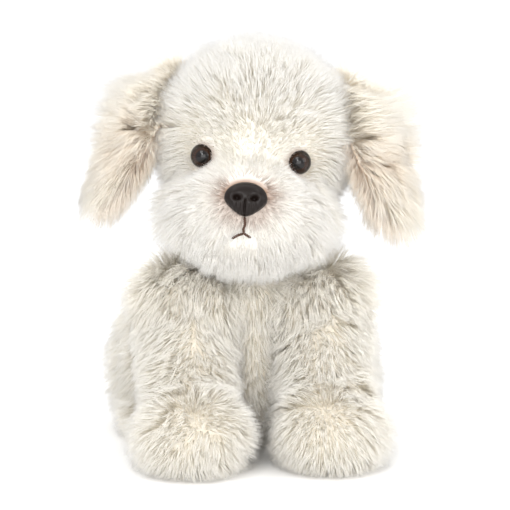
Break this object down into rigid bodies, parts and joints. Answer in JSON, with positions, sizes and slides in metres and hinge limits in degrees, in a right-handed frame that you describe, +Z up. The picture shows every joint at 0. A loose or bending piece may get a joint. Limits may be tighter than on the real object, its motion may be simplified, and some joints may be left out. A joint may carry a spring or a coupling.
{
  "type": "plush dog",
  "caption": "Sitting plush puppy with long white pile, hanging ears, plastic eyes and nose, a turning head, sprung ears and legs, and a wagging tail.",
  "frame": {"origin": "on the floor, under the middle of the puppy's outline, inside the flat of its seat", "axes": "+Z up, -Y the way the puppy faces, +X its own left"},
  "size_m": [0.1772, 0.1944, 0.236],
  "materials": {
    "long_pile": "long soft off-white pile",
    "muzzle_pile": "short dense white pile",
    "ear_lining": "short peach pile",
    "stuffing": "white polyester fibre",
    "pouch_cloth": "plain woven cloth",
    "pellets": "loose plastic beads",
    "label_ribbon": "blank satin ribbon",
    "eye_plastic": "polished, dark brown iris and black pupil",
    "nose_plastic": "satin dark brown",
    "washer_plastic": "natural white",
    "mouth_thread": "dark brown embroidery thread"
  },
  "bodies": {
    "torso": {"body_side_left": "long_pile", "body_side_right": "long_pile", "chest_panel": "long_pile", "seat_panel": "long_pile", "body_filling": "stuffing", "pellet_pouch": "pouch_cloth", "pellets": "pellets", "sewn_in_label": "label_ribbon"},
    "neck": {"neck_tube": "long_pile", "neck_filling": "stuffing"},
    "head": {"head_gusset": "long_pile", "head_side_left": "long_pile", "head_side_right": "long_pile", "muzzle_panel": "muzzle_pile", "chin_panel": "muzzle_pile", "head_filling": "stuffing", "eye_left": "eye_plastic", "eye_right": "eye_plastic", "eye_washer_left": "washer_plastic", "eye_washer_right": "washer_plastic", "nose": "nose_plastic", "nose_washer": "washer_plastic", "mouth_stitching": "mouth_thread"},
    "ear_left": {"ear_left_outer": "long_pile", "ear_left_inner": "ear_lining"},
    "ear_right": {"ear_right_outer": "long_pile", "ear_right_inner": "ear_lining"},
    "front_leg_left": {"front_leg_left_skin": "long_pile", "front_leg_left_sole": "long_pile", "front_leg_left_filling": "stuffing"},
    "hind_leg_left": {"hind_leg_left_skin": "long_pile", "hind_leg_left_sole": "long_pile", "hind_leg_left_filling": "stuffing"},
    "front_leg_right": {"front_leg_right_skin": "long_pile", "front_leg_right_sole": "long_pile", "front_leg_right_filling": "stuffing"},
    "hind_leg_right": {"hind_leg_right_skin": "long_pile", "hind_leg_right_sole": "long_pile", "hind_leg_right_filling": "stuffing"},
    "tail": {"tail_skin": "long_pile", "tail_filling": "stuffing"}
  },
  "joints": [
    {"name": "head_turn", "type": "hinge", "parent": "torso", "child": "neck", "pos_m": [0, -0.008, 0.11], "axis": [0, 0, 1], "range_deg": [-25, 25], "stiffness_Nm_per_rad": 0.6},
    {"name": "head_nod", "type": "hinge", "parent": "neck", "child": "head", "pos_m": [0, -0.008, 0.142], "axis": [0.9858, -0.1564, -0.0603], "range_deg": [-10, 12], "stiffness_Nm_per_rad": 1.2},
    {"name": "ear_left_lift", "type": "hinge", "parent": "head", "child": "ear_left", "pos_m": [0.05468, -0.01392, 0.2138], "axis": [-0.5581, -0.829, 0.0341], "range_deg": [-4, 50], "stiffness_Nm_per_rad": 0.03},
    {"name": "ear_right_lift", "type": "hinge", "parent": "head", "child": "ear_right", "pos_m": [-0.04489, 0.00187, 0.21989], "axis": [-0.2751, 0.9613, 0.0168], "range_deg": [-4, 50], "stiffness_Nm_per_rad": 0.03},
    {"name": "front_leg_left_swing", "type": "hinge", "parent": "torso", "child": "front_leg_left", "pos_m": [0.04, -0.014, 0.084], "axis": [-1, 0, 0], "range_deg": [-4, 35], "stiffness_Nm_per_rad": 0.25},
    {"name": "front_leg_right_swing", "type": "hinge", "parent": "torso", "child": "front_leg_right", "pos_m": [-0.04, -0.014, 0.084], "axis": [-1, 0, 0], "range_deg": [-4, 35], "stiffness_Nm_per_rad": 0.25},
    {"name": "hind_leg_left_swing", "type": "hinge", "parent": "torso", "child": "hind_leg_left", "pos_m": [0.05, 0.038, 0.042], "axis": [-1, 0, 0], "range_deg": [-3, 18], "stiffness_Nm_per_rad": 0.25},
    {"name": "hind_leg_right_swing", "type": "hinge", "parent": "torso", "child": "hind_leg_right", "pos_m": [-0.05, 0.038, 0.042], "axis": [-1, 0, 0], "range_deg": [-3, 18], "stiffness_Nm_per_rad": 0.25},
    {"name": "tail_wag", "type": "hinge", "parent": "torso", "child": "tail", "pos_m": [0, 0.0755, 0.034], "axis": [0, 0, 1], "range_deg": [-25, 25], "stiffness_Nm_per_rad": 0.02}
  ]
}
